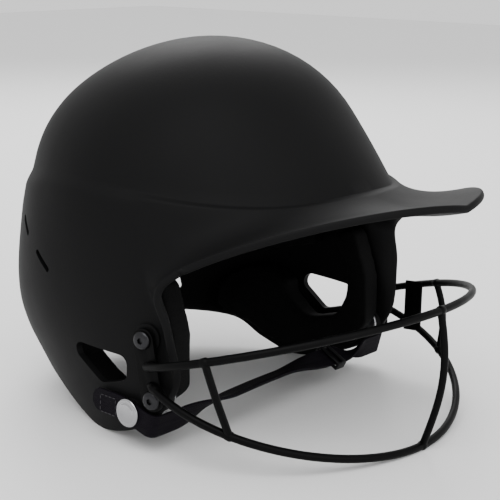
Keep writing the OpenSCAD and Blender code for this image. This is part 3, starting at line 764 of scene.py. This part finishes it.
def prism(name, outline, depth, matrix):
    """An outline extruded by depth along the third axis, then placed."""
    deselect()
    bpy.ops.mesh.primitive_circle_add(vertices=len(outline), fill_type="NGON")
    obj = bpy.context.object
    obj.name = obj.data.name = name
    for v, p in zip(obj.data.vertices, outline):
        v.co = (p.x, p.y, 0)
    bpy.ops.object.mode_set(mode="EDIT")
    bpy.ops.mesh.select_all(action="SELECT")
    bpy.ops.mesh.extrude_region_move(TRANSFORM_OT_translate={"value": (0, 0, depth)})
    bpy.ops.mesh.select_all(action="SELECT")
    bpy.ops.mesh.normals_make_consistent(inside=False)
    bpy.ops.object.mode_set(mode="OBJECT")
    return placed(obj, matrix)


def ear_cutter(side):
    corners = [
        (-EAR_Y + 13, EAR_Z + 8), (-EAR_Y - 12, EAR_Z - 0.5), (-EAR_Y - 10.5, EAR_Z - 4.5),
        (-EAR_Y + 3, EAR_Z - 4.5)]
    outline = rounded_outline(corners, 5)
    to_side = Matrix(((0, 0, 1, 70), (1, 0, 0, 0), (0, 1, 0, 0), (0, 0, 0, 1)))
    if side < 0:
        to_side = Matrix.Scale(-1, 4, (1, 0, 0)) @ to_side
    return prism("ear_cutter", outline, 45, row(to_side))


VENTS = ((107.6, 116.5, -42, 14, 3.2), (96, 96.5, -38, 15, 3.2), (141.5, 65, 0, 15, 5))


def vent_cutter(side, azimuth_deg, z, turn, length, width):
    a, b = length / 2 - 0.45 * width, 0.05 * width
    outline = rounded_outline([(a, b), (-a, b), (-a, -b), (a, -b)], 0.45 * width)
    f = math.radians(azimuth_deg)
    m = Matrix.Translation(wall_pt(f, z)) @ Matrix.Rotation(f - math.pi / 2, 4, "Z")
    m = m @ Matrix.Rotation(math.radians(turn), 4, "X") @ Matrix.Rotation(math.pi / 2, 4, "Y")
    m = m @ Matrix.Translation((0, 0, -12))
    if side < 0:
        m = Matrix.Scale(-1, 4, (1, 0, 0)) @ m
    return prism("vent_cutter", outline, 24, row(m))


def shell_skin(rim_bulge):
    """Closed wall: outer face down to the rim, round the rolled rim and up the inner face."""
    columns = half_columns()
    outer = all_round([shell_column(c, LEDGE) for c in columns])
    plain = all_round([shell_column(c, 0) for c in columns])
    n, rows = len(outer), len(outer[0])
    pole = dome_pt(0, math.pi / 2)
    loops = []
    for i in range(n):
        inner = []
        for j in range(rows):
            du = plain[(i + 1) % n][j] - plain[i - 1][j]
            dv = plain[i][min(rows - 1, j + 1)] - plain[i][max(0, j - 1)]
            inner.append(plain[i][j] - du.cross(dv).normalized() * WALL)
        edge_out, edge_in = outer[i][0], inner[0]
        middle, half = (edge_out + edge_in) / 2, (edge_out - edge_in) / 2
        down = (edge_out - outer[i][2]).normalized()
        down = (down - half * (down.dot(half) / half.length_squared)).normalized()
        lip = [
            middle + half * math.cos(a) + down * rim_bulge * math.sin(a)
            for a in (math.pi * k / 8 for k in range(1, 8))
        ]
        loops.append([pole] + outer[i][::-1] + lip + inner + [pole - Vector((0, 0, WALL))])
    skin = sheet_grid("helmet_shell", loops, wrap=True)
    to_row(skin)
    clean(skin, 1e-7)
    return skin


class HELMET_OT_shell(bpy.types.Operator):
    """Moulded shell with its bill, ear flaps, ear holes, vents and bosses"""

    bl_idname = "helmet.shell"
    bl_label = "Shell"

    def execute(self, context):
        skin = shell_skin(context.scene.helmet_sizes.rim_bulge / MM)
        cutters = [ear_cutter(side) for side in (-1, 1)]
        cutters += [vent_cutter(side, *vent) for side in (-1, 1) for vent in VENTS]
        for m in screw_frames():
            wide = BOSS_R + 0.1
            pocket = turned_part("pocket", [(0, BOSS_OUT), (wide, BOSS_OUT), (wide, 9), (0, 9)])
            cutters.append(placed(pocket, row(m)))
        cutter = joined(cutters, "shell_cutter")
        cut = skin.modifiers.new("Openings", "BOOLEAN")
        cut.object = cutter
        cut.operation = "DIFFERENCE"
        cut.solver = "EXACT"
        apply_all(skin)
        bpy.data.objects.remove(cutter)
        bosses = []
        for m in screw_frames():
            boss = turned_part("boss", [
                (3.6, BOSS_OUT - 0.3), (3.9, BOSS_OUT), (BOSS_R - 0.6, BOSS_OUT),
                (BOSS_R - 0.15, BOSS_OUT - 0.15), (BOSS_R, BOSS_OUT - 0.6), (BOSS_R, -4.8),
                (BOSS_R - 0.3, -5.4), (3.6, -5.4)])
            bosses.append(placed(boss, row(m)))
        for side in (-1, 1):
            boss = turned_part("boss", [
                (1.7, SNAP_BOSS), (6.0, SNAP_BOSS), (6.4, SNAP_BOSS - 0.15), (6.5, SNAP_BOSS - 0.5),
                (6.5, -5.4), (6.2, -SNAP_FOOT), (1.7, -SNAP_FOOT)])
            bosses.append(placed(boss, row(snap_frame(side))))
        shell = joined([skin] + bosses, "helmet_shell")
        finish_piece(shell, "helmet", finishes()["Shell plastic"], ["shell"], 32)
        return {"FINISHED"}


# ------------------------------------------------------------------ pads
PADS = (
    "brow_pad", "crown_pad", "rear_pad", "side_pad_left", "side_pad_right", "jaw_pad_left",
    "jaw_pad_right",
)
PAD_PRESSURE, PAD_STEPS = 4, 20


def swollen(pad, limit):
    """Foam swells a little out of its cut shape, to a limit, and not away from the head."""
    before = [v.co.copy() for v in pad.data.vertices]
    middle = STANCE @ Vector((0, 0, DOME_Z)) * MM
    cloth = pad.modifiers.new("Swell", "CLOTH")
    cloth.settings.use_pressure = True
    cloth.settings.uniform_pressure_force = PAD_PRESSURE
    cloth.settings.effector_weights.gravity = 0
    scene = bpy.context.scene
    for step in range(1, PAD_STEPS + 1):
        scene.frame_set(step)
    shape = pad.evaluated_get(bpy.context.evaluated_depsgraph_get()).to_mesh()
    after = [v.co.copy() for v in shape.vertices]
    pad.modifiers.remove(cloth)
    scene.frame_set(1)
    for v, a, b in zip(pad.data.vertices, before, after):
        move = b - a
        out = a - middle
        out.z = max(0, out.z)
        out.normalize()
        move -= out * max(0, move.dot(out))
        if move.length > limit:
            move *= limit / move.length
        v.co = a + move


class HELMET_OT_pads(bpy.types.Operator):
    """Foam pads: brow, crown, rear, sides and jaw"""

    bl_idname = "helmet.pads"
    bl_label = "Pads"

    def execute(self, context):
        sizes = context.scene.helmet_sizes
        for node in PADS:
            pad = cad_copy(node, node + "_foam")
            only(pad)
            pad.data.remesh_voxel_size = 0.003 if node.startswith("jaw") else sizes.pad_voxel
            bpy.ops.object.voxel_remesh()
            smoothing = pad.modifiers.new("Soften", "SMOOTH")
            smoothing.iterations = 4
            smoothing.factor = 0.5
            apply_all(pad)
            swollen(pad, sizes.pad_swell)
            finer = pad.modifiers.new("Finer", "SUBSURF")
            finer.levels = finer.render_levels = 1
            apply_all(pad)
            finish_piece(pad, "helmet", finishes()["Foam"], [node], 60)
        return {"FINISHED"}


# ------------------------------------------------------------------ face guard
GUARD_OUT = BOSS_OUT + SPACER_T + PLATE_T + WIRE_D / 2 - 0.3
BAR_TOP, BAR_LOW = 0.262, 0.31


def guard_ends():
    """Where the top and the lower wire are welded to the wearer's left plate."""
    n = normal_at(side_pt(-GUARD_Y, GUARD_Z)) * GUARD_OUT
    top = side_pt(-GUARD_Y - 1.5, TOP_WIRE_Z) + n
    low = side_pt(-GUARD_Y - 1.5, GUARD_Z - SCREW_GAP / 2 + 7) + n
    return top, low


def bowed(a, b, out, steps=16):
    """A bar's centreline from a to b, standing out most at its middle."""
    return [a.lerp(b, i / steps) + out * math.sin(math.pi * i / steps) for i in range(steps + 1)]


def top_pt(t):
    weld = guard_ends()[0]
    return bezier(weld, Vector((weld.x + 18, -104, TOP_WIRE_Z)),
                  Vector((61, -GUARD_REACH, TOP_WIRE_Z - 2)),
                  Vector((0, -GUARD_REACH, TOP_WIRE_Z - 2)), t)


def lower_pt(t):
    weld = guard_ends()[1]
    return bezier(weld, Vector((weld.x + 10, -98, -6)), Vector((54, -LOWER_REACH, LOWER_Z)),
                  Vector((0, -LOWER_REACH, LOWER_Z)), t)


def both_ways(half):
    return half + [mirrored(p) for p in reversed(half[:-1])]


def level_tube(name, points, radius, sides=5):
    return tube(name, [row(Matrix.Identity(4)) @ p for p in points], radius * MM, sides)


def weld_bead(place, run, length, radius):
    """A low lump of weld along the wire."""
    deselect()
    bpy.ops.mesh.primitive_uv_sphere_add(segments=20, ring_count=12, radius=1)
    bead = bpy.context.object
    z = run.normalized()
    x = z.orthogonal().normalized()
    y = z.cross(x)
    for v in bead.data.vertices:
        ripple = 1 + 0.07 * math.sin(v.co.z * 9) * (1 - abs(v.co.z))
        c = Vector((v.co.x * radius * ripple, v.co.y * radius * ripple, v.co.z * length))
        v.co = place + x * c.x + y * c.y + z * c.z
    to_row(bead)
    return bead


class HELMET_OT_guard_wires(bpy.types.Operator):
    """Welded wires of the face guard"""

    bl_idname = "helmet.guard_wires"
    bl_label = "Guard Wires"

    def execute(self, context):
        coat = finishes()["Powder coat"]
        steps = 48
        radius, thin = WIRE_D / 2, (WIRE_D - 0.3) / 2
        top = both_ways([top_pt(i / steps) for i in range(steps + 1)])
        low = both_ways([lower_pt(i / steps) for i in range(steps + 1)])
        centre = bowed(top_pt(1), lower_pt(1), Vector((0, -7, 0)))
        side = bowed(top_pt(BAR_TOP), lower_pt(BAR_LOW), Vector((2.5, -2, 0)))
        for name, points, r, node in (
            ("top_wire", top, radius, "guard_top_wire"),
            ("lower_wire", low, radius, "guard_lower_wire"),
            ("centre_bar", centre, thin, "guard_center_bar"),
            ("side_bar_left", side, thin, "guard_side_bar_left"),
            ("side_bar_right", [mirrored(p) for p in side], thin, "guard_side_bar_right"),
        ):
            finish_piece(level_tube(name, points, r), "helmet", coat, [node], 50)
        beads = []
        for t, pt in ((BAR_TOP, top_pt), (BAR_LOW, lower_pt), (1.0, top_pt), (1.0, lower_pt)):
            run = pt(min(1, t + 0.01)) - pt(t - 0.01)
            for flip in (False, True) if t < 1 else (False,):
                p, d = (mirrored(pt(t)), mirrored(run)) if flip else (pt(t), run)
                beads.append(weld_bead(p, d, 3.6, 2.55))
        for pt in (top_pt, lower_pt):
            run = pt(0.02) - pt(0)
            for flip in (False, True):
                p = pt(0.0) + run * 0.6
                p -= normal_at(side_pt(-GUARD_Y, GUARD_Z)) * 0.9
                p, d = (mirrored(p), mirrored(run)) if flip else (p, run)
                beads.append(weld_bead(p, d, 5.5, 2.6))
        finish_piece(joined(beads, "guard_welds"), "helmet", coat, (), 60)
        return {"FINISHED"}


class HELMET_OT_guard_fittings(bpy.types.Operator):
    """Side plates, screws, rubber spacers, tee nuts and tag of the guard"""

    bl_idname = "helmet.guard_fittings"
    bl_label = "Guard Fittings"

    def execute(self, context):
        look = finishes()
        for side in ("left", "right"):
            eased_copy("guard_plate_" + side, "side_plate_" + side, 0.0006, "helmet",
                       look["Powder coat"], 3)
        eased_copy("guard_spacers", "spacers", 0.0004, "helmet", look["Rubber"])
        eased_copy("tee_nuts", "tee_nut_set", 0.0002, "helmet", look["Zinc steel"])
        eased_copy("guard_tag", "tag", 0.0005, "helmet", look["Tag plastic"], 3)
        screws = []
        seat = BOSS_OUT + SPACER_T + PLATE_T
        for m in screw_frames():
            head = turned_part("screw", [
                (0, -5.4), (2.2, -5.4), (2.4, -5.2), (2.4, seat), (4.55, seat),
                (4.75, seat + 0.2), (4.75, seat + 0.7), (4.6, seat + 1.15), (4.15, seat + 1.6),
                (3.4, seat + 1.95), (2.5, seat + 2.15), (1.2, seat + 2.28), (0, seat + 2.3)])
            deselect()
            bpy.ops.mesh.primitive_cylinder_add(
                vertices=6, radius=1.75, depth=4, location=(0, 0, seat + 2.9))
            socket = bpy.context.object
            socket.data.transform(Matrix.Translation(socket.location))
            socket.location = (0, 0, 0)
            cut = head.modifiers.new("Socket", "BOOLEAN")
            cut.object = socket
            cut.solver = "EXACT"
            apply_all(head)
            bpy.data.objects.remove(socket)
            screws.append(placed(head, row(m)))
        finish_piece(joined(screws, "screws"), "helmet", look["Dark steel"],
                     ["guard_screws"], 40)
        return {"FINISHED"}


# ------------------------------------------------------------------ chin strap
STRAP_MID = STRAP_GAP + STRAP_T / 2
LEG_L = STRAP_DROP - BEND_R - STRAP_T / 2


def snap_place(u, n):
    return SNAP_P + STRAP_U * u + Vector((n, 0, 0))


INSIDE = snap_place(-STRAP_DROP, STRAP_MID - 14)
RUN_X = INSIDE.x - 4


def run_pt(x):
    lift = math.cos(math.radians(90 * x / RUN_X))
    return Vector((x, INSIDE.y - 3 * lift, INSIDE.z + 4 * lift))


def run_across(x):
    """The strap twists on its way from one side of the jaw to the other."""
    k = x / RUN_X
    turn = 63 * (1 - smooth((-k - 0.5) / 0.5)) if x < 0 else (
        63 + 41 * smooth(k / 0.48) - 104 * smooth((k - 0.66) / 0.34))
    return Matrix.Rotation(math.radians(turn), 3, "X") @ STRAP_V


def side_leg(tip_u, turn=0.0):
    """Centreline and across direction from the strap's end on the left flap to the run's start."""
    end = []
    place, steps = snap_place(0, STRAP_MID), 14
    for i in range(steps + 1):
        a = turn * smooth(i / 5)
        d = STRAP_U * math.cos(a) - STRAP_V * math.sin(a)
        v = STRAP_V * math.cos(a) + STRAP_U * math.sin(a)
        end.append((place.copy(), v))
        place += d * tip_u / steps
    leg = end[::-1]
    leg += [(snap_place(-LEG_L * i / 9, STRAP_MID), STRAP_V) for i in range(1, 9)]
    r = BEND_R + STRAP_T / 2
    for k in range(13):
        a = math.radians(90 * k / 12)
        place = snap_place(-LEG_L - r * math.sin(a), STRAP_MID - r * (1 - math.cos(a)))
        leg.append((place, STRAP_V))
    last = leg[-1][0]
    leg += [(last.lerp(INSIDE, k / 4), STRAP_V) for k in (1, 2, 3)]
    return leg


def webbing_mesh(name, path, half_width):
    """A ribbon along path with its UV map in metres, given its thickness by Solidify."""
    across = [k / 4 for k in range(-4, 5)]
    points, lengths, total = [], [], 0.0
    for i, (p, v) in enumerate(path):
        a, b = path[max(0, i - 1)][0], path[min(len(path) - 1, i + 1)][0]
        d = (b - a).normalized()
        v = (v - d * v.dot(d)).normalized()
        w = half_width(i)
        points.append([p + v * w * k for k in across])
        if i:
            total += (p - path[i - 1][0]).length
        lengths.append(total)
    obj = sheet_grid(name, points, wrap=False)
    layer = obj.data.uv_layers.active.data
    steps = len(points) - 1
    for loop in obj.data.loops:
        i = round(layer[loop.index].uv.x * steps)
        layer[loop.index].uv = (lengths[i] * MM, (layer[loop.index].uv.y - 0.5) * STRAP_W * MM)
    to_row(obj)
    solid = obj.modifiers.new("Thickness", "SOLIDIFY")
    solid.thickness = STRAP_T * MM
    solid.offset = 0
    edge = obj.modifiers.new("Soft edge", "BEVEL")
    edge.width = 0.00045
    edge.segments = 3
    edge.limit_method = "ANGLE"
    edge.angle_limit = math.radians(50)
    apply_all(obj)
    return obj


def stitches(name, frame_matrix, runs, length):
    """Rows of stitches on the strap's outer face: each run is (start, end), in its frame."""
    made = []
    for (x0, y0), (x1, y1) in runs:
        start, end = Vector((x0, y0)), Vector((x1, y1))
        count = max(2, round((end - start).length / (length * 1.25)))
        turn = math.atan2(y1 - y0, x1 - x0)
        for i in range(count):
            c = start.lerp(end, (i + 0.5) / count)
            deselect()
            bpy.ops.mesh.primitive_uv_sphere_add(segments=10, ring_count=6, radius=1)
            bead = bpy.context.object
            m = Matrix.Translation((c.x, c.y, STRAP_GAP + STRAP_T)) @ Matrix.Rotation(turn, 4, "Z")
            m = m @ Matrix.Diagonal((length / 2, 0.3, 0.28, 1))
            made.append(placed(bead, row(frame_matrix @ m)))
    return joined(made, name)


STITCH_BOX_HALF = 4.6


def stitch_box(x0, x1):
    """The four sides of a box of stitches between two places along the strap."""
    corners = [(x0, -STITCH_BOX_HALF), (x1, -STITCH_BOX_HALF), (x1, STITCH_BOX_HALF),
               (x0, STITCH_BOX_HALF)]
    return [(corners[i], corners[(i + 1) % 4]) for i in range(4)]


class HELMET_OT_strap(bpy.types.Operator):
    """Webbing chin strap from its snap to its rivet, with its stitching and slider"""

    bl_idname = "helmet.strap"
    bl_label = "Chin Strap"

    def execute(self, context):
        look = finishes()
        near = [(mirrored(p), mirrored(v)) for p, v in side_leg(TAB_L, TAB_TURN)]
        run = [(run_pt(x), run_across(x)) for x in (RUN_X * (2 * i / 70 - 1) for i in range(71))]
        far = list(reversed(side_leg(STUB_L)))
        path = near + run + far

        def half_width(i):
            t = max(0.0, 1 - i / 14 * TAB_L / (STRAP_W / 2))
            return STRAP_W / 2 * max(0.3, (1 - t**2.4) ** (1 / 2.4))

        webbing = webbing_mesh("webbing", path, half_width)
        finish_piece(webbing, None, look["Webbing"], ["chin_strap", "strap_tab"], 40)
        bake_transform(webbing)
        step = context.scene.helmet_sizes.stitch_length / MM
        tab_frame = snap_frame(-1) @ Matrix.Rotation(-TAB_TURN, 4, "Z")
        tab_thread = stitches("tab_stitches", tab_frame, stitch_box(9, 20), step)
        finish_piece(tab_thread, "tab", look["Sewing thread"], (), 60)
        far_thread = stitches("rivet_stitches", snap_frame(1), stitch_box(-12, 7), step)
        finish_piece(far_thread, "strap", look["Sewing thread"], (), 60)
        eased_copy("strap_slider", "slider", 0.0005, "strap", look["Slider plastic"],
                   3)
        return {"FINISHED"}


class HELMET_OT_snap(bpy.types.Operator):
    """Snap cap, stud, rivet and their washers"""

    bl_idname = "helmet.snap"
    bl_label = "Snap and Rivet"

    def execute(self, context):
        look = finishes()
        cap = turned_part("snap_cap_shell", [
            (0, 7.5), (4.1, 7.46), (4.8, 7.34), (5.2, 7.05), (5.6, 6.98), (6.0, 7.1), (6.6, 7.08),
            (7.15, 6.8), (7.45, 6.35), (7.5, 5.9), (7.3, 5.6), (6.9, 5.52), (4.25, 5.5),
            (4.25, 3.3), (4.1, 3.2), (3.4, 3.2), (3.3, 3.3), (3.3, 5.7), (0, 5.7)], 64)
        placed(cap, row(snap_frame(-1)))
        finish_piece(cap, "tab", look["Chrome"], ["snap_cap"], 40)
        stud = turned_part("stud", [
            (0, 4.7), (1.5, 4.7), (2.0, 4.4), (2.1, 4.0), (1.8, 3.5), (1.8, 3.0), (4.2, 2.9), (4.5, 2.7),
            (4.5, 2.2), (1.6, 2.2), (1.6, -6.8), (0, -6.8)], 40)
        placed(stud, row(snap_frame(-1)))
        finish_piece(stud, "helmet", look["Chrome"], ["snap_stud"], 40)
        rivet = turned_part("rivet", [
            (0, 7.1), (2.4, 7.02), (3.5, 6.75), (4.2, 6.3), (4.5, 5.8), (4.4, 5.5), (1.6, 5.5),
            (1.6, -6.8), (0, -6.8)], 48)
        placed(rivet, row(snap_frame(1)))
        finish_piece(rivet, "helmet", look["Chrome"], ["strap_rivet"], 40)
        for node in ("snap_washer", "rivet_washer"):
            eased_copy(node, node + "_ring", 0.00015, "helmet", look["Zinc steel"])
        return {"FINISHED"}


class HELMET_PT_panel(bpy.types.Panel):
    bl_label = "Batting Helmet"
    bl_idname = "HELMET_PT_panel"
    bl_space_type = "VIEW_3D"
    bl_region_type = "UI"
    bl_category = "Helmet"

    def draw(self, context):
        for settings in (context.scene.helmet_look, context.scene.helmet_sizes):
            for name in settings.__annotations__:
                self.layout.prop(settings, name)
        for operator in OPERATORS:
            self.layout.operator(operator.bl_idname)


OPERATORS = (
    HELMET_OT_stage, HELMET_OT_shell, HELMET_OT_pads, HELMET_OT_guard_wires,
    HELMET_OT_guard_fittings, HELMET_OT_strap, HELMET_OT_snap,
)
CLASSES = (HelmetLook, HelmetSizes) + OPERATORS + (HELMET_PT_panel,)


def register():
    for cls in CLASSES:
        bpy.utils.register_class(cls)
    bpy.types.Scene.helmet_look = PointerProperty(type=HelmetLook)
    bpy.types.Scene.helmet_sizes = PointerProperty(type=HelmetSizes)


def unregister():
    del bpy.types.Scene.helmet_sizes
    del bpy.types.Scene.helmet_look
    for cls in reversed(CLASSES):
        bpy.utils.unregister_class(cls)


def main():
    register()
    bpy.ops.helmet.stage()
    bpy.ops.helmet.shell()
    bpy.ops.helmet.pads()
    bpy.ops.helmet.guard_wires()
    bpy.ops.helmet.guard_fittings()
    bpy.ops.helmet.strap()
    bpy.ops.helmet.snap()
    deselect()


if __name__ == "__main__":
    main()
